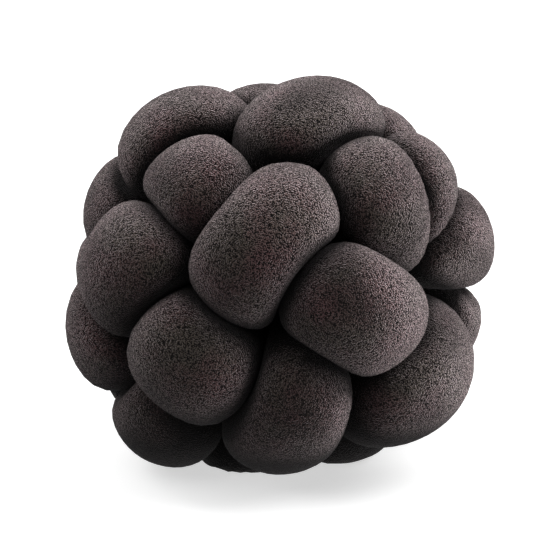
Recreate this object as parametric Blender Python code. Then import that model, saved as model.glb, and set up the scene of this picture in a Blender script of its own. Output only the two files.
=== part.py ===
"""Knot cushion: one long stuffed plush tube, knotted over and under itself into a ball.

Metres, +Z up.  The ball rests on its small flat underside at z = 0, its axis is the Z axis,
and its front faces -Y.
"""
import math

import bmesh
import bpy
import mathutils
import numpy as np

# ---------------------------------------------------------------- driving dimensions
BALL_RADIUS = 0.150        # crown of a lobe from the middle of the ball
SAG = 0.955                # height of the ball for its width, before it meets the floor
CENTRE_HEIGHT = 0.126      # middle of the ball above the floor
TUBE_OVER = 0.048          # free radius of the tube where it lies on top
TUBE_UNDER = 0.042         # free radius of the tube where it dives under
UNDER_DEPTH = 0.048        # centre line of a diving tube from the middle of the ball
EASE_LOSS = 0.0055         # height that the easing takes off the crowns
CONTACT_GAP = 0.0008       # left between two touching lengths of tube
CROWN_HOLD = 1.9           # how flat a lobe is along its top, and how steeply its ends dive
LATE_DIVE = 0.1            # above 0 a lobe dives only where the one that covers it begins
SOFT_EDGE = 13.0           # high values give hard edges where two lobes press together
OWN_LENGTH = 0.030         # along the tube, a point's own neighbourhood
LEAST_RADIUS = 0.002       # of the tube, however hard it is squeezed
CORE_FILL = 1.0            # how much further the stuffing swells towards the middle of the ball

FINE_PER_STEP = 24         # points of the centre line from one crossing to the next
EASE_ROUNDS = 36           # times that each point moves half way between its neighbours
RINGS = 480                # cross-sections along the whole tube
SIDES = 12                 # corners of a cross-section
CALM_ROUNDS = 2            # times that a corner that sticks out is drawn in to its neighbours
CALM_SLACK = 0.006         # that a corner may stick out past them before it is
SETTLE_ROUNDS = 60         # steps in which the crossings at the back spread out evenly
NEXT_REACH = 0.56          # crossings that follow each other push apart below this, on a unit ball
OTHER_REACH = 0.74         # all other pairs push apart below this
NEXT_SLACK = 0.62          # crossings that follow each other pull together above this
PUSH, PULL = 0.20, 0.15    # share of the overlap and of the gap made good in a step
NEARLY_ZERO = 1e-6

PLUSH_COLOUR = (0.036, 0.030, 0.031, 1.0)
PLUSH_ROUGHNESS = 0.95

# Every crossing of the tube with itself: longitude (0 is the front, + to the right) and
# latitude, in degrees.  FRONT stays where it is, BACK is rough and spreads out evenly.
FRONT = {
    "A": (-3, 32), "B": (45, 42), "C": (25, 6), "D": (5, -33), "E": (-30, -12),
    "T": (50, 72), "U1": (-84, 57), "U2": (-36, 43), "L1": (-52, 15), "L2": (-74, -15),
    "L3": (-104, 28), "F": (-63, -46), "G": (53, -25), "R1": (72, 41), "R2": (97, 12),
    "R3": (100, -17), "H": (-55, -77), "G2": (93, -72), "T2": (-165, 62), "T3": (124, 48),
}
BACK = {
    "K1": (110, 25), "K2": (115, -5), "K3": (-125, 40), "K4": (-155, -75), "K5": (180, -40),
    "K6": (180, -5), "K7": (155, 25), "K8": (145, -10), "K9": (-145, 5), "K10": (-110, -5),
    "K11": (130, -45), "K12": (-165, 35), "K13": (-105, -45), "K14": (-140, -25),
}
# Lobes that stand further out than the others, or less far, in metres.
PROUD = {
    "T": 0.007, "U1": 0.007, "G": 0.008, "F": 0.006, "R2": 0.005, "L1": 0.003, "A": 0.002,
    "B": 0.002, "C": 0.002, "R1": 0.001, "L2": 0.001, "E": -0.001, "U2": -0.002,
    "L3": -0.002, "G2": -0.002, "T2": -0.004,
}
# The way of the tube from crossing to crossing.  It lies on top at the first, dives under
# at the second, and so on by turns, and the last leads back to the first.
ROUTE = """
    F E A B R1 K1 K2 R3 G D E L1 L3 K3 T2 T B C D H K4 K5 K6 K7 T3 R1 R2 K2 K8 K6 K9 K10 L2 F
    H G2 K11 K8 K7 K12 K3 U1 U2 A C G G2 K4 K13 L2 L1 U2 T T3 K1 R2 R3 K11 K5 K14 K10 L3 U1
    T2 K12 K9 K14 K13
""".split()


def unit(vectors):
    """The vectors, each at length 1."""
    return vectors / np.linalg.norm(vectors, axis=-1, keepdims=True)


def on_ball(longitude, latitude):
    """The direction of a place on the ball, given in degrees."""
    lon, lat = math.radians(longitude), math.radians(latitude)
    return np.array([math.sin(lon) * math.cos(lat), -math.cos(lon) * math.cos(lat), math.sin(lat)])


def settled_crossings():
    """Directions of all crossings, with those at the back spread out evenly."""
    names = list(FRONT) + list(BACK)
    places = {**FRONT, **BACK}
    spots = np.array([on_ball(*places[name]) for name in names])
    row = {name: i for i, name in enumerate(names)}
    here = np.array([row[name] for name in ROUTE])
    there = np.roll(here, -1)
    free = np.array([[name in BACK] for name in names], dtype=float)
    linked = np.zeros((len(names), len(names)), dtype=bool)
    linked[here, there] = True
    linked |= linked.T
    reach = np.where(linked, NEXT_REACH, OTHER_REACH)
    for _ in range(SETTLE_ROUNDS):
        away = spots[:, None] - spots[None]
        distance = np.linalg.norm(away, axis=2) + np.eye(len(names))
        push = np.clip(reach - distance, 0.0, None) / distance
        pull = np.where(linked, np.clip(distance - NEXT_SLACK, 0.0, None) / distance, 0.0)
        np.fill_diagonal(push, 0.0)
        force = ((PUSH * push - PULL * pull)[:, :, None] * away).sum(axis=1)
        spots = unit(spots + force * free)
    return spots[here]


def centre_line():
    """Close points along the middle of the tube, and its free radius at each."""
    marks = settled_crossings()
    steps = len(marks)
    u = np.arange(steps * FINE_PER_STEP) / FINE_PER_STEP
    k = np.floor(u).astype(int)
    f = (u - k)[:, None]
    p0, p1, p2, p3 = (marks[(k + shift) % steps] for shift in (-1, 0, 1, 2))
    way = 0.5 * (2 * p1 + (p2 - p0) * f + (2 * p0 - 5 * p1 + 4 * p2 - p3) * f ** 2
                 + (3 * p1 - p0 - 3 * p2 + p3) * f ** 3)
    swing = np.tanh(CROWN_HOLD * (np.cos(math.pi * u) + LATE_DIVE))
    swing = 2 * (swing - swing.min()) / (swing.max() - swing.min()) - 1
    proud = np.array([PROUD.get(name, 0.0) for name in ROUTE])
    top = BALL_RADIUS + EASE_LOSS - TUBE_OVER + proud[2 * np.rint(u / 2).astype(int) % steps]
    depth = UNDER_DEPTH + (top - UNDER_DEPTH) * 0.5 * (1 + swing)
    radius = 0.5 * (TUBE_OVER + TUBE_UNDER) + 0.5 * (TUBE_OVER - TUBE_UNDER) * swing
    points = unit(way) * depth[:, None] * (1.0, 1.0, SAG)
    for _ in range(EASE_ROUNDS):
        points = 0.5 * points + 0.25 * (np.roll(points, 1, axis=0) + np.roll(points, -1, axis=0))
    return points, radius


def cross_section_frames(points):
    """Two unit vectors square to the tube at each point, with no needless twist."""
    tangent = unit(np.roll(points, -1, axis=0) - np.roll(points, 1, axis=0))
    side = np.zeros_like(points)
    vector = np.cross(tangent[0], (0.0, 0.0, 1.0))
    for i, along in enumerate(tangent):
        vector = vector - along * (vector @ along)
        vector = vector / np.linalg.norm(vector)
        side[i] = vector
    across = np.cross(side, tangent)
    end = side[-1] - tangent[0] * (side[-1] @ tangent[0])
    slip = math.atan2(end @ across[0], end @ side[0])
    turn = -slip * np.arange(len(points))[:, None] / len(points)
    return (side * np.cos(turn) + across * np.sin(turn),
            across * np.cos(turn) - side * np.sin(turn))


def spread_rings(points, rings):
    """Which points of the centre line get a cross-section: closer ones where the tube bends."""
    ahead = np.roll(points, -1, axis=0) - points
    length = np.linalg.norm(ahead, axis=1)
    tangent = ahead / length[:, None]
    bend = np.arccos(np.clip((tangent * np.roll(tangent, 1, axis=0)).sum(axis=1), -1.0, 1.0))
    travel = np.cumsum(length + bend * TUBE_OVER)
    return np.searchsorted(travel, travel[-1] * (np.arange(rings) + 0.5) / rings)


def tube_surface(rings, sides):
    """Corners of all cross-sections: the round tube, squeezed where it meets itself."""
    points, radius = centre_line()
    side, across = cross_section_frames(points)
    lengths = np.linalg.norm(np.roll(points, -1, axis=0) - points, axis=1)
    total = lengths.sum()
    travel = np.cumsum(lengths) - lengths
    chosen = spread_rings(points, rings)
    angle = 2 * math.pi * np.arange(sides)[:, None] / sides
    rays = np.cos(angle) * side[chosen, None] + np.sin(angle) * across[chosen, None]
    reach = np.zeros((rings, sides))
    inward = np.clip(-(rays * unit(points[chosen])[:, None]).sum(axis=2), 0.0, 1.0)
    free = radius[chosen, None] * (1 + CORE_FILL * inward)
    for row, i in enumerate(chosen):
        apart = np.abs(travel - travel[i])
        others = np.minimum(apart, total - apart) > OWN_LENGTH
        to_others = points[others] - points[i]
        squared = (to_others ** 2).sum(axis=1) + radius[i] ** 2 - radius[others] ** 2
        facing = rays[row] @ to_others.T
        halfway = squared / (2 * np.maximum(facing, NEARLY_ZERO))
        halfway[facing <= NEARLY_ZERO] = BALL_RADIUS
        room = np.maximum(halfway.min(axis=1) - 0.5 * CONTACT_GAP, LEAST_RADIUS)
        reach[row] = (free[row] ** -SOFT_EDGE + room ** -SOFT_EDGE) ** (-1 / SOFT_EDGE)
    for _ in range(CALM_ROUNDS):
        around = sum(np.roll(reach, shift, axis) for shift in (-1, 1) for axis in (0, 1)) / 4
        reach = np.where(inward > 0, reach, np.minimum(reach, around + CALM_SLACK))
    floor = (points[chosen, None, 2] + CENTRE_HEIGHT) / np.maximum(-rays[:, :, 2], NEARLY_ZERO)
    corners = points[chosen, None] + rays * np.minimum(reach, floor)[:, :, None]
    corners[:, :, 2] = np.maximum(corners[:, :, 2] + CENTRE_HEIGHT, 0.0)
    flat = corners.reshape(-1, 3)
    corners[:, :, :2] -= 0.5 * (flat.min(axis=0) + flat.max(axis=0))[:2]
    return corners


def plush():
    """The material of the tube."""
    material = bpy.data.materials.new("plush")
    material.use_nodes = True
    shader = material.node_tree.nodes["Principled BSDF"]
    shader.inputs["Base Color"].default_value = PLUSH_COLOUR
    shader.inputs["Roughness"].default_value = PLUSH_ROUGHNESS
    shader.inputs["Metallic"].default_value = 0.0
    return material


def ring_mesh(name, rings, sides):
    """A plain closed ring, with the cross-section and the place in it that each corner is at."""
    bm = bmesh.new()
    section = bmesh.ops.create_circle(bm, segments=sides, radius=0.5)["verts"]
    upright = mathutils.Matrix.Rotation(math.pi / 2, 4, "X")
    bmesh.ops.transform(bm, matrix=upright, verts=section)
    bmesh.ops.translate(bm, vec=(1, 0, 0), verts=section)
    bmesh.ops.spin(bm, geom=bm.verts[:] + bm.edges[:], cent=(0, 0, 0), axis=(0, 0, 1),
                   angle=2 * math.pi, steps=rings, use_merge=True)
    bmesh.ops.recalc_face_normals(bm, faces=bm.faces)
    mesh = bpy.data.meshes.new(name)
    bm.to_mesh(mesh)
    bm.free()
    x, y, z = np.array([corner.co for corner in mesh.vertices]).T
    ring = np.rint(np.arctan2(y, x) * rings / (2 * math.pi)).astype(int) % rings
    rank = np.rint(np.arctan2(z, np.hypot(x, y) - 1.0) * sides / (2 * math.pi)).astype(int) % sides
    return mesh, ring, rank


def knotted_tube(collection):
    """The whole cushion: a ring of cross-sections, bent and squeezed into the knot."""
    corners = tube_surface(RINGS, SIDES)
    mesh, ring, rank = ring_mesh("knotted_tube", len(corners), SIDES)
    mesh.vertices.foreach_set("co", corners[ring, rank].reshape(-1))
    mesh.update()
    mesh.shade_smooth()
    mesh.materials.append(plush())
    tube = bpy.data.objects.new("knotted_tube", mesh)
    collection.objects.link(tube)
    return tube


def main():
    for thing in list(bpy.data.objects):
        bpy.data.objects.remove(thing, do_unlink=True)
    cushion = bpy.data.collections.new("knot_cushion")
    bpy.context.scene.collection.children.link(cushion)
    knotted_tube(cushion)


main()
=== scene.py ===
"""Looks of the knot cushion: the tube in fine detail with its plush, on a pale floor.

Metres, +Z up, front to -Y, the same frame as the solids.
"""

import math

import bmesh
import bpy
import numpy as np
from mathutils import Euler, Matrix, Vector
from mathutils.bvhtree import BVHTree


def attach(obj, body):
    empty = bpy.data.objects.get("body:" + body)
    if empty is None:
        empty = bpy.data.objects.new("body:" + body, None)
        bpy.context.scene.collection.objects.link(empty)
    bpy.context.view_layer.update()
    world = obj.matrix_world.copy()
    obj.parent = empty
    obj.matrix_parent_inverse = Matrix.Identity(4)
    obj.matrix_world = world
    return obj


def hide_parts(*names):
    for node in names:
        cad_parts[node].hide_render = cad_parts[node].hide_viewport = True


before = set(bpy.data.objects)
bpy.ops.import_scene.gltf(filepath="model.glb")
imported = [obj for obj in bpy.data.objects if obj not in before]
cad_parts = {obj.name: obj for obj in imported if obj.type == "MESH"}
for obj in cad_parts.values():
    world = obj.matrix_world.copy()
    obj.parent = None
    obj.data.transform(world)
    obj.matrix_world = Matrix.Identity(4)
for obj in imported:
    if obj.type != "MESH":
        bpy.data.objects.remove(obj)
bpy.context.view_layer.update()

# ---------------------------------------------------------------- the tube, as in the solids
BALL_RADIUS = 0.150        # crown of a lobe from the middle of the ball
SAG = 0.955                # height of the ball for its width, before it meets the floor
CENTRE_HEIGHT = 0.126      # middle of the ball above the floor
TUBE_OVER = 0.048          # free radius of the tube where it lies on top
TUBE_UNDER = 0.042         # free radius of the tube where it dives under
UNDER_DEPTH = 0.048        # centre line of a diving tube from the middle of the ball
EASE_LOSS = 0.0055         # height that the easing takes off the crowns
CONTACT_GAP = 0.0008       # left between two touching lengths of tube
CROWN_HOLD = 1.9           # how flat a lobe is along its top, and how steeply its ends dive
LATE_DIVE = 0.1            # above 0 a lobe dives only where the one that covers it begins
SOFT_EDGE = 13.0           # high values give hard edges where two lobes press together
OWN_LENGTH = 0.030         # along the tube, a point's own neighbourhood
LEAST_RADIUS = 0.002       # of the tube, however hard it is squeezed
CORE_FILL = 1.0            # how much further the stuffing swells towards the middle of the ball
FINE_PER_STEP = 24         # points of the centre line from one crossing to the next
EASE_ROUNDS = 36           # times that each point moves half way between its neighbours
SETTLE_ROUNDS = 60         # steps in which the crossings at the back spread out evenly
NEXT_REACH = 0.56          # crossings that follow each other push apart below this, on a unit ball
OTHER_REACH = 0.74         # all other pairs push apart below this
NEXT_SLACK = 0.62          # crossings that follow each other pull together above this
PUSH, PULL = 0.20, 0.15    # share of the overlap and of the gap made good in a step
NEARLY_ZERO = 1e-6

RINGS = 1632               # cross-sections along the whole tube, one for each point of its line
SIDES = 52                 # corners of a cross-section
CUTS = 4                   # that many rings and sides are one face of the first rough ring
CALM_ROUNDS = 4            # times that the squeezed skin is evened out
RING_STEP = 0.0042         # from one cross-section to the next, as the nap pattern counts it

# ---------------------------------------------------------------- shade in the folds
STRIDE = 2                 # one ring in so many, and one side in so many, are looked at
WAYS_OUT = 48              # directions that are tried from there, over a whole sphere
LIFT = 0.003               # they start this high above the skin
TUBE_REACH = 0.075         # further off than this, no other length of tube gives shelter
FLOOR_REACH = 0.12         # and neither does the floor
TINY = 1e-12               # keeps a division from being by zero
EVEN_ROUNDS = 3            # times that the shelter is evened out
OPEN, CLOSED = 0.20, 0.66  # shares of blocked ways at which shade begins and is full

# Every crossing of the tube with itself: longitude (0 is the front, + to the right) and
# latitude, in degrees.  FRONT stays where it is, BACK is rough and spreads out evenly.
FRONT = {
    "A": (-3, 32), "B": (45, 42), "C": (25, 6), "D": (5, -33), "E": (-30, -12),
    "T": (50, 72), "U1": (-84, 57), "U2": (-36, 43), "L1": (-52, 15), "L2": (-74, -15),
    "L3": (-104, 28), "F": (-63, -46), "G": (53, -25), "R1": (72, 41), "R2": (97, 12),
    "R3": (100, -17), "H": (-55, -77), "G2": (93, -72), "T2": (-165, 62), "T3": (124, 48),
}
BACK = {
    "K1": (110, 25), "K2": (115, -5), "K3": (-125, 40), "K4": (-155, -75), "K5": (180, -40),
    "K6": (180, -5), "K7": (155, 25), "K8": (145, -10), "K9": (-145, 5), "K10": (-110, -5),
    "K11": (130, -45), "K12": (-165, 35), "K13": (-105, -45), "K14": (-140, -25),
}
# Lobes that stand further out than the others, or less far, in metres.
PROUD = {
    "T": 0.007, "U1": 0.007, "G": 0.008, "F": 0.006, "R2": 0.005, "L1": 0.003, "A": 0.002,
    "B": 0.002, "C": 0.002, "R1": 0.001, "L2": 0.001, "E": -0.001, "U2": -0.002,
    "L3": -0.002, "G2": -0.002, "T2": -0.004,
}
# The way of the tube from crossing to crossing.  It lies on top at the first, dives under
# at the second, and so on by turns, and the last leads back to the first.
ROUTE = """
    F E A B R1 K1 K2 R3 G D E L1 L3 K3 T2 T B C D H K4 K5 K6 K7 T3 R1 R2 K2 K8 K6 K9 K10 L2 F
    H G2 K11 K8 K7 K12 K3 U1 U2 A C G G2 K4 K13 L2 L1 U2 T T3 K1 R2 R3 K11 K5 K14 K10 L3 U1
    T2 K12 K9 K14 K13
""".split()


def unit(vectors):
    """The vectors, each at length 1."""
    return vectors / np.linalg.norm(vectors, axis=-1, keepdims=True)


def on_ball(longitude, latitude):
    """The direction of a place on the ball, given in degrees."""
    lon, lat = math.radians(longitude), math.radians(latitude)
    return np.array([math.sin(lon) * math.cos(lat), -math.cos(lon) * math.cos(lat), math.sin(lat)])


def settled_crossings():
    """Directions of all crossings, with those at the back spread out evenly."""
    names = list(FRONT) + list(BACK)
    places = {**FRONT, **BACK}
    spots = np.array([on_ball(*places[name]) for name in names])
    row = {name: i for i, name in enumerate(names)}
    here = np.array([row[name] for name in ROUTE])
    there = np.roll(here, -1)
    free = np.array([[name in BACK] for name in names], dtype=float)
    linked = np.zeros((len(names), len(names)), dtype=bool)
    linked[here, there] = True
    linked |= linked.T
    reach = np.where(linked, NEXT_REACH, OTHER_REACH)
    for _ in range(SETTLE_ROUNDS):
        away = spots[:, None] - spots[None]
        distance = np.linalg.norm(away, axis=2) + np.eye(len(names))
        push = np.clip(reach - distance, 0.0, None) / distance
        pull = np.where(linked, np.clip(distance - NEXT_SLACK, 0.0, None) / distance, 0.0)
        np.fill_diagonal(push, 0.0)
        force = ((PUSH * push - PULL * pull)[:, :, None] * away).sum(axis=1)
        spots = unit(spots + force * free)
    return spots[here]


def centre_line():
    """Close points along the middle of the tube, and its free radius at each."""
    marks = settled_crossings()
    steps = len(marks)
    u = np.arange(steps * FINE_PER_STEP) / FINE_PER_STEP
    k = np.floor(u).astype(int)
    f = (u - k)[:, None]
    p0, p1, p2, p3 = (marks[(k + shift) % steps] for shift in (-1, 0, 1, 2))
    way = 0.5 * (2 * p1 + (p2 - p0) * f + (2 * p0 - 5 * p1 + 4 * p2 - p3) * f ** 2
                 + (3 * p1 - p0 - 3 * p2 + p3) * f ** 3)
    swing = np.tanh(CROWN_HOLD * (np.cos(math.pi * u) + LATE_DIVE))
    swing = 2 * (swing - swing.min()) / (swing.max() - swing.min()) - 1
    proud = np.array([PROUD.get(name, 0.0) for name in ROUTE])
    top = BALL_RADIUS + EASE_LOSS - TUBE_OVER + proud[2 * np.rint(u / 2).astype(int) % steps]
    depth = UNDER_DEPTH + (top - UNDER_DEPTH) * 0.5 * (1 + swing)
    radius = 0.5 * (TUBE_OVER + TUBE_UNDER) + 0.5 * (TUBE_OVER - TUBE_UNDER) * swing
    points = unit(way) * depth[:, None] * (1.0, 1.0, SAG)
    for _ in range(EASE_ROUNDS):
        points = 0.5 * points + 0.25 * (np.roll(points, 1, axis=0) + np.roll(points, -1, axis=0))
    return points, radius


def cross_section_frames(points):
    """Two unit vectors square to the tube at each point, with no needless twist."""
    tangent = unit(np.roll(points, -1, axis=0) - np.roll(points, 1, axis=0))
    side = np.zeros_like(points)
    vector = np.cross(tangent[0], (0.0, 0.0, 1.0))
    for i, along in enumerate(tangent):
        vector = vector - along * (vector @ along)
        vector = vector / np.linalg.norm(vector)
        side[i] = vector
    across = np.cross(side, tangent)
    end = side[-1] - tangent[0] * (side[-1] @ tangent[0])
    slip = math.atan2(end @ across[0], end @ side[0])
    turn = -slip * np.arange(len(points))[:, None] / len(points)
    return (side * np.cos(turn) + across * np.sin(turn),
            across * np.cos(turn) - side * np.sin(turn))


def soft_least(first, second):
    """The lesser of two lengths, with a rounded edge where they are alike."""
    return (first ** -SOFT_EDGE + second ** -SOFT_EDGE) ** (-1 / SOFT_EDGE)


def tube_surface(sides):
    """Corners of all cross-sections: the round tube, squeezed where it meets itself."""
    points, radius = centre_line()
    side, across = cross_section_frames(points)
    lengths = np.linalg.norm(np.roll(points, -1, axis=0) - points, axis=1)
    total = lengths.sum()
    travel = np.cumsum(lengths) - lengths
    angle = 2 * math.pi * np.arange(sides)[:, None] / sides
    rays = np.cos(angle) * side[:, None] + np.sin(angle) * across[:, None]
    reach = np.zeros((len(points), sides))
    inward = np.clip(-(rays * unit(points)[:, None]).sum(axis=2), 0.0, 1.0)
    free = radius[:, None] * (1 + CORE_FILL * inward)
    for i in range(len(points)):
        apart = np.abs(travel - travel[i])
        others = np.minimum(apart, total - apart) > OWN_LENGTH
        to_others = points[others] - points[i]
        squared = (to_others ** 2).sum(axis=1) + radius[i] ** 2 - radius[others] ** 2
        facing = rays[i] @ to_others.T
        halfway = squared / (2 * np.maximum(facing, NEARLY_ZERO))
        halfway[facing <= NEARLY_ZERO] = BALL_RADIUS
        room = np.maximum(halfway.min(axis=1) - 0.5 * CONTACT_GAP, LEAST_RADIUS)
        reach[i] = soft_least(free[i], room)
    for _ in range(CALM_ROUNDS):
        around = sum(np.roll(reach, shift, axis) for shift in (-1, 1) for axis in (0, 1)) / 4
        reach = np.minimum(reach, around)
    floor = (points[:, None, 2] + CENTRE_HEIGHT) / np.maximum(-rays[:, :, 2], NEARLY_ZERO)
    corners = points[:, None] + rays * soft_least(reach, floor)[:, :, None]
    corners[:, :, 2] = np.maximum(corners[:, :, 2] + CENTRE_HEIGHT, 0.0)
    flat = corners.reshape(-1, 3)
    corners[:, :, :2] -= 0.5 * (flat.min(axis=0) + flat.max(axis=0))[:2]
    return corners


def ring_mesh(name, rings, sides):
    """A plain closed ring of radius 1, and which cross-section and side each corner is at."""
    bm = bmesh.new()
    section = bmesh.ops.create_circle(bm, segments=sides // CUTS, radius=0.5)["verts"]
    bmesh.ops.transform(bm, matrix=Matrix.Rotation(math.pi / 2, 4, "X"), verts=section)
    bmesh.ops.translate(bm, vec=(1, 0, 0), verts=section)
    bmesh.ops.spin(bm, geom=bm.verts[:] + bm.edges[:], cent=(0, 0, 0), axis=(0, 0, 1),
                   angle=2 * math.pi, steps=rings // CUTS, use_merge=True)
    bmesh.ops.subdivide_edges(bm, edges=bm.edges[:], cuts=CUTS - 1, use_grid_fill=True)
    bmesh.ops.recalc_face_normals(bm, faces=bm.faces)
    mesh = bpy.data.meshes.new(name)
    bm.to_mesh(mesh)
    bm.free()
    places = np.empty(3 * len(mesh.vertices))
    mesh.vertices.foreach_get("co", places)
    x, y, z = places.reshape(-1, 3).T
    ring = np.rint(np.arctan2(y, x) * rings / (2 * math.pi)).astype(int) % rings
    rank = np.rint(np.arctan2(z, np.hypot(x, y) - 1.0) * sides / (2 * math.pi)).astype(int) % sides
    return mesh, ring, rank


# ---------------------------------------------------------------- plush
# Colours of the pile: in its roots, at its tips and, as painted shade, in the folds and under the
# ball, and the same again as a painted sheen where the skin turns away from the eye and the pile
# is seen from its side.
ROOTS = (0.002, 0.0015, 0.0015, 1)
RED_TIPS = (0.138, 0.072, 0.073, 1)
GREY_TIPS = (0.096, 0.079, 0.064, 1)
PAINTED_FOLD_SHADE = (0.001, 0.0008, 0.0008, 1)
PAINTED_SHEEN_ROOTS = (0.06, 0.05, 0.05, 1)
PAINTED_SHEEN_TIPS = (0.92, 0.77, 0.78, 1)
PAINTED_SHEEN_IN_SHADE = (0.003, 0.0025, 0.0025, 1)
SHEEN_TINT = (1.0, 0.90, 0.92, 1)
# How fine its patterns are, in spots per metre.
TUFTS = 1350.0
ROWS = 1250.0
ROW_STRETCH = (1.3, 0.8, 0.8)   # rows are close along the tube and long around it
PATCHES = 26.0             # of the two tip colours
BRUSHED = 24.0             # places where the pile lies down and looks darker
PATCH_DETAIL = 3.0
TUFT_SHARE, ROW_SHARE = 0.7, 0.3   # of the grain
# Values of a pattern at which the first look ends and the second is full.
TUFT_EDGE = (0.46, 0.55)   # roots and tips
PATCH_EDGE = (0.40, 0.60)  # red and grey tips
BRUSHED_EDGE = (0.36, 0.60)
BRUSHED_TONE = (0.50, 1.15)   # of the tips, brushed and standing up
PILE_DEPTH = 0.0018
PAINTED_SHEEN_EDGE = 2.3             # high values keep the painted sheen at the rim of a lobe narrow
DEEP_EDGE = 2.0            # high values keep the painted sheen light until deep in the painted shade of the folds


def plush():
    """Short dark pile: fine grain, dark roots, painted shade in the folds and under the ball, and
    a painted sheen where a lobe turns away.
    """
    material = bpy.data.materials.new("plush")
    material.use_nodes = True
    nodes, links = material.node_tree.nodes, material.node_tree.links
    shader = nodes["Principled BSDF"]

    def noise(source, scale, detail=0.0, stretch=None):
        if stretch:
            mapping = nodes.new("ShaderNodeMapping")
            mapping.inputs["Scale"].default_value = stretch
            links.new(source, mapping.inputs["Vector"])
            source = mapping.outputs["Vector"]
        texture = nodes.new("ShaderNodeTexNoise")
        texture.inputs["Scale"].default_value = scale
        texture.inputs["Detail"].default_value = detail
        links.new(source, texture.inputs["Vector"])
        return texture.outputs["Fac"]

    def ranged(value, edge, tone=(0.0, 1.0)):
        node = nodes.new("ShaderNodeMapRange")
        node.inputs["From Min"].default_value, node.inputs["From Max"].default_value = edge
        node.inputs["To Min"].default_value, node.inputs["To Max"].default_value = tone
        links.new(value, node.inputs["Value"])
        return node.outputs["Result"]

    def maths(operation, first, second):
        node = nodes.new("ShaderNodeMath")
        node.operation = operation
        links.new(first, node.inputs[0])
        if isinstance(second, float):
            node.inputs[1].default_value = second
        else:
            links.new(second, node.inputs[1])
        return node.outputs["Value"]

    def mixed(factor, first, second):
        node = nodes.new("ShaderNodeMix")
        node.data_type = "RGBA"
        links.new(factor, node.inputs["Factor"])
        for socket, colour in (("A", first), ("B", second)):
            there = next(i for i in node.inputs if i.name == socket and i.type == "RGBA")
            if isinstance(colour, tuple):
                there.default_value = colour
            else:
                links.new(colour, there)
        return next(o for o in node.outputs if o.type == "RGBA")

    def attribute(name):
        node = nodes.new("ShaderNodeAttribute")
        node.attribute_name = name
        return node

    place = nodes.new("ShaderNodeTexCoord").outputs["Object"]
    along = attribute("nap").outputs["Vector"]
    # painted shade: 0 in the open, 1 deep in the folds or under the ball
    fold_shade = attribute("fold_shade").outputs["Fac"]
    tufts = maths("MULTIPLY", noise(place, TUFTS), TUFT_SHARE)
    rows = maths("MULTIPLY", noise(along, ROWS, stretch=ROW_STRETCH), ROW_SHARE)
    grain = maths("ADD", tufts, rows)
    brushed = ranged(noise(along, BRUSHED, PATCH_DETAIL), BRUSHED_EDGE, BRUSHED_TONE)
    tips = maths("MULTIPLY", ranged(grain, TUFT_EDGE), brushed)
    patches = ranged(noise(place, PATCHES, PATCH_DETAIL), PATCH_EDGE)

    bump = nodes.new("ShaderNodeBump")
    bump.inputs["Strength"].default_value = 1.0
    bump.inputs["Distance"].default_value = PILE_DEPTH
    links.new(grain, bump.inputs["Height"])
    links.new(bump.outputs["Normal"], shader.inputs["Normal"])

    # Painted sheen: the colour grows lighter where the skin turns away from the eye.
    edge = nodes.new("ShaderNodeLayerWeight")
    edge.inputs["Blend"].default_value = 0.5
    links.new(bump.outputs["Normal"], edge.inputs["Normal"])
    painted_sheen_mask = maths("POWER", edge.outputs["Facing"], PAINTED_SHEEN_EDGE)

    pile = mixed(tips, ROOTS, mixed(patches, RED_TIPS, GREY_TIPS))
    # Painted shade: the pile darkens to a near-black deep in the folds and under the ball.
    shaded = mixed(fold_shade, pile, PAINTED_FOLD_SHADE)
    # Painted sheen, itself darkened deep in the painted shade of the folds.
    painted_sheen = mixed(maths("POWER", fold_shade, DEEP_EDGE), mixed(tips, PAINTED_SHEEN_ROOTS, PAINTED_SHEEN_TIPS), PAINTED_SHEEN_IN_SHADE)
    links.new(mixed(painted_sheen_mask, shaded, painted_sheen), shader.inputs["Base Color"])
    shader.inputs["Roughness"].default_value = 0.95
    shader.inputs["Specular IOR Level"].default_value = 0.12
    shader.inputs["Sheen Weight"].default_value = 0.12
    shader.inputs["Sheen Roughness"].default_value = 0.3
    shader.inputs["Sheen Tint"].default_value = SHEEN_TINT
    return material


def even_directions(count):
    """Unit vectors spread evenly over the whole sphere, along a spiral."""
    turn = np.arange(count) * math.pi * (3 - math.sqrt(5))
    height = 1 - (2 * np.arange(count) + 1) / count
    flat = np.sqrt(1 - height ** 2)
    return np.stack([flat * np.cos(turn), flat * np.sin(turn), height], axis=1)


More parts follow.
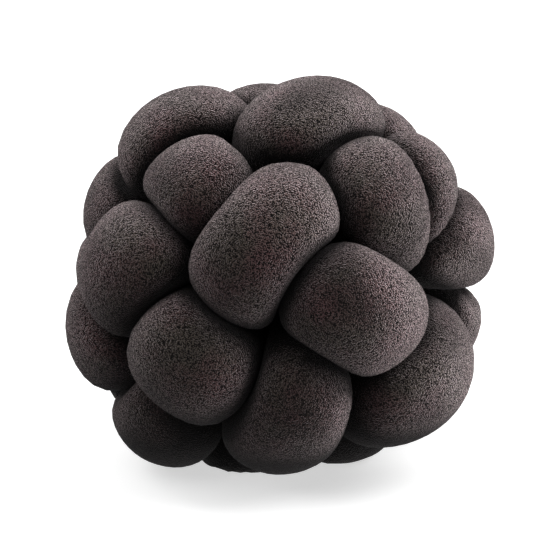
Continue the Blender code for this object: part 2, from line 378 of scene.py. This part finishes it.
def sheltered(corners):
    """Shade to paint into the colour: 0 where a corner looks out freely, 1 deep in the folds or
    under the ball.
    """
    sparse = corners[::STRIDE, ::STRIDE]
    rings, sides = sparse.shape[:2]
    number = np.arange(rings * sides).reshape(rings, sides)
    after, beside = np.roll(number, -1, axis=0), np.roll(number, -1, axis=1)
    quads = np.stack([number, after, np.roll(after, -1, axis=1), beside], axis=2).reshape(-1, 4)
    tree = BVHTree.FromPolygons(sparse.reshape(-1, 3).tolist(), quads.tolist())
    along = np.roll(sparse, -1, axis=0) - np.roll(sparse, 1, axis=0)
    around = np.roll(sparse, -1, axis=1) - np.roll(sparse, 1, axis=1)
    outward = np.cross(along, around)
    outward /= np.maximum(np.linalg.norm(outward, axis=2, keepdims=True), TINY)
    if (outward * (sparse - sparse.mean(axis=1, keepdims=True))).sum() < 0:
        outward = -outward
    ways = even_directions(WAYS_OUT)
    starts = (sparse + LIFT * outward).reshape(-1, 3)
    facing = np.clip(outward.reshape(-1, 3) @ ways.T, 0.0, None)
    blocked = starts[:, 2:] + FLOOR_REACH * ways[None, :, 2] < 0.0
    for i, start in enumerate(starts.tolist()):
        for way in np.flatnonzero((facing[i] > 0) & ~blocked[i]):
            blocked[i, way] = tree.ray_cast(start, ways[way], TUBE_REACH)[0] is not None
    share = (facing * blocked).sum(axis=1) / np.maximum(facing.sum(axis=1), TINY)
    share = share.reshape(rings, sides)
    share = share.repeat(STRIDE, axis=0).repeat(STRIDE, axis=1)
    for _ in range(EVEN_ROUNDS):
        share = sum(np.roll(share, shift, axis) for shift in (-1, 1) for axis in (0, 1)) / 4
    shade = np.clip((share - OPEN) / (CLOSED - OPEN), 0.0, 1.0)
    return shade * shade * (3 - 2 * shade)


def knotted_tube():
    """The whole cushion: a ring of cross-sections, bent and squeezed into the knot.

    Its skin carries two patterns: nap, the place on the tube laid straight, and the shade that is
    painted into its folds and under the ball.
    """
    corners = tube_surface(SIDES)
    mesh, ring, rank = ring_mesh("plush_tube", RINGS, SIDES)
    mesh.vertices.foreach_set("co", corners[ring, rank].reshape(-1))
    turn = 2 * math.pi * rank / SIDES
    nap = np.stack([(ring - FINE_PER_STEP) % RINGS * RING_STEP, TUBE_OVER * np.cos(turn),
                    TUBE_OVER * np.sin(turn)], axis=1)
    mesh.attributes.new("nap", "FLOAT_VECTOR", "POINT").data.foreach_set("vector", nap.reshape(-1))
    # the shade to be painted into the folds and under the ball
    fold_shade = sheltered(corners)[ring, rank]
    mesh.attributes.new("fold_shade", "FLOAT", "POINT").data.foreach_set("value", fold_shade)
    mesh.update()
    mesh.shade_smooth()
    mesh.materials.append(plush())
    tube = bpy.data.objects.new("plush_tube", mesh)
    bpy.context.scene.collection.objects.link(tube)
    return tube


tube = knotted_tube()
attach(tube, "root")
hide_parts("knotted_tube")

# ---------------------------------------------------------------- floor, light and camera
FLOOR_HALF = 6.0           # half its width
FLOOR_GREY = (0.8, 0.8, 0.8, 1)
FLOOR_GLOW = 0.6           # keeps it white, so that only the shadow under the ball shows
WHITE = (1, 1, 1, 1)
# Each sun: the way to it, its width in degrees, and its power.
SUNS = {
    "key": ((1.0, -0.1, 1.1), 40, 2.2),
    "top": ((-0.8, -0.3, 1.1), 60, 1.3),
    "behind": ((-0.5, 1.0, 0.9), 60, 1.3),
    "bounce": ((1.0, -0.15, -0.30), 60, 2.0),
}
# The room is a unit sphere, dimmest below the first height and brightest above the second.
ROOM_HEIGHTS = (-0.6, 0.9)
ROOM_LIGHT = (0.6, 0.9)
BACKDROP = 1.1             # light of the room as the camera sees it
VIEW_ELEVATION = math.radians(15)
VIEW_DISTANCE = 1.2
IMAGE_PIXELS = 551         # width of the picture
FOCAL_PIXELS = 1682.7      # focal length, in pixels of that picture
BALL_AT = (282, 281)       # pixel that the middle of the ball falls on
SENSOR = 36.0              # millimetres


def floor():
    """A pale floor.  It throws no light and no shade on the underside of the ball."""
    bm = bmesh.new()
    bmesh.ops.create_grid(bm, x_segments=1, y_segments=1, size=FLOOR_HALF)
    mesh = bpy.data.meshes.new("floor")
    bm.to_mesh(mesh)
    bm.free()
    material = bpy.data.materials.new("floor")
    material.use_nodes = True
    shader = material.node_tree.nodes["Principled BSDF"]
    shader.inputs["Base Color"].default_value = FLOOR_GREY
    shader.inputs["Roughness"].default_value = 0.8
    shader.inputs["Specular IOR Level"].default_value = 0.1
    shader.inputs["Emission Color"].default_value = WHITE
    shader.inputs["Emission Strength"].default_value = FLOOR_GLOW
    mesh.materials.append(material)
    sheet = bpy.data.objects.new("floor", mesh)
    bpy.context.scene.collection.objects.link(sheet)
    sheet.visible_diffuse = False
    sheet.visible_shadow = False


def sun(name, towards, softness, power):
    """A far soft light, from that direction and that many degrees wide."""
    light = bpy.data.lights.new(name, "SUN")
    light.angle = math.radians(softness)
    light.energy = power
    lamp = bpy.data.objects.new(name, light)
    lamp.rotation_euler = Vector(towards).to_track_quat("Z", "Y").to_euler()
    bpy.context.scene.collection.objects.link(lamp)


def studio():
    """A white room that gives the cushion only a soft light, most of it from above."""
    world = bpy.data.worlds.new("studio")
    world.use_nodes = True
    nodes, links = world.node_tree.nodes, world.node_tree.links
    ambient = nodes["Background"]
    direction = nodes.new("ShaderNodeTexCoord").outputs["Generated"]
    split = nodes.new("ShaderNodeSeparateXYZ")
    links.new(direction, split.inputs["Vector"])
    height = nodes.new("ShaderNodeMapRange")
    height.inputs["From Min"].default_value, height.inputs["From Max"].default_value = ROOM_HEIGHTS
    height.inputs["To Min"].default_value, height.inputs["To Max"].default_value = ROOM_LIGHT
    links.new(split.outputs["Z"], height.inputs["Value"])
    links.new(height.outputs["Result"], ambient.inputs["Strength"])
    seen = nodes.new("ShaderNodeBackground")
    seen.inputs["Color"].default_value = WHITE
    seen.inputs["Strength"].default_value = BACKDROP
    pick = nodes.new("ShaderNodeMixShader")
    path = nodes.new("ShaderNodeLightPath")
    links.new(path.outputs["Is Camera Ray"], pick.inputs["Fac"])
    links.new(ambient.outputs["Background"], pick.inputs[1])
    links.new(seen.outputs["Background"], pick.inputs[2])
    links.new(pick.outputs["Shader"], nodes["World Output"].inputs["Surface"])
    bpy.context.scene.world = world


def camera():
    """The camera, where the photograph was taken from."""
    centre = Vector((0, 0, CENTRE_HEIGHT))
    back = Vector((0, -math.cos(VIEW_ELEVATION), math.sin(VIEW_ELEVATION)))
    data = bpy.data.cameras.new("camera")
    data.sensor_fit = "HORIZONTAL"
    data.sensor_width = SENSOR
    data.lens = SENSOR * FOCAL_PIXELS / IMAGE_PIXELS
    data.shift_x = -(BALL_AT[0] - IMAGE_PIXELS / 2) / IMAGE_PIXELS
    data.shift_y = (BALL_AT[1] - IMAGE_PIXELS / 2) / IMAGE_PIXELS
    eye = bpy.data.objects.new("camera", data)
    eye.location = centre + VIEW_DISTANCE * back
    eye.rotation_euler = Euler((math.pi / 2 - VIEW_ELEVATION, 0, 0))
    bpy.context.scene.collection.objects.link(eye)
    bpy.context.scene.camera = eye


floor()
for name, (towards, softness, power) in SUNS.items():
    sun(name, towards, softness, power)
studio()
camera()
bpy.context.scene.view_settings.view_transform = "Standard"
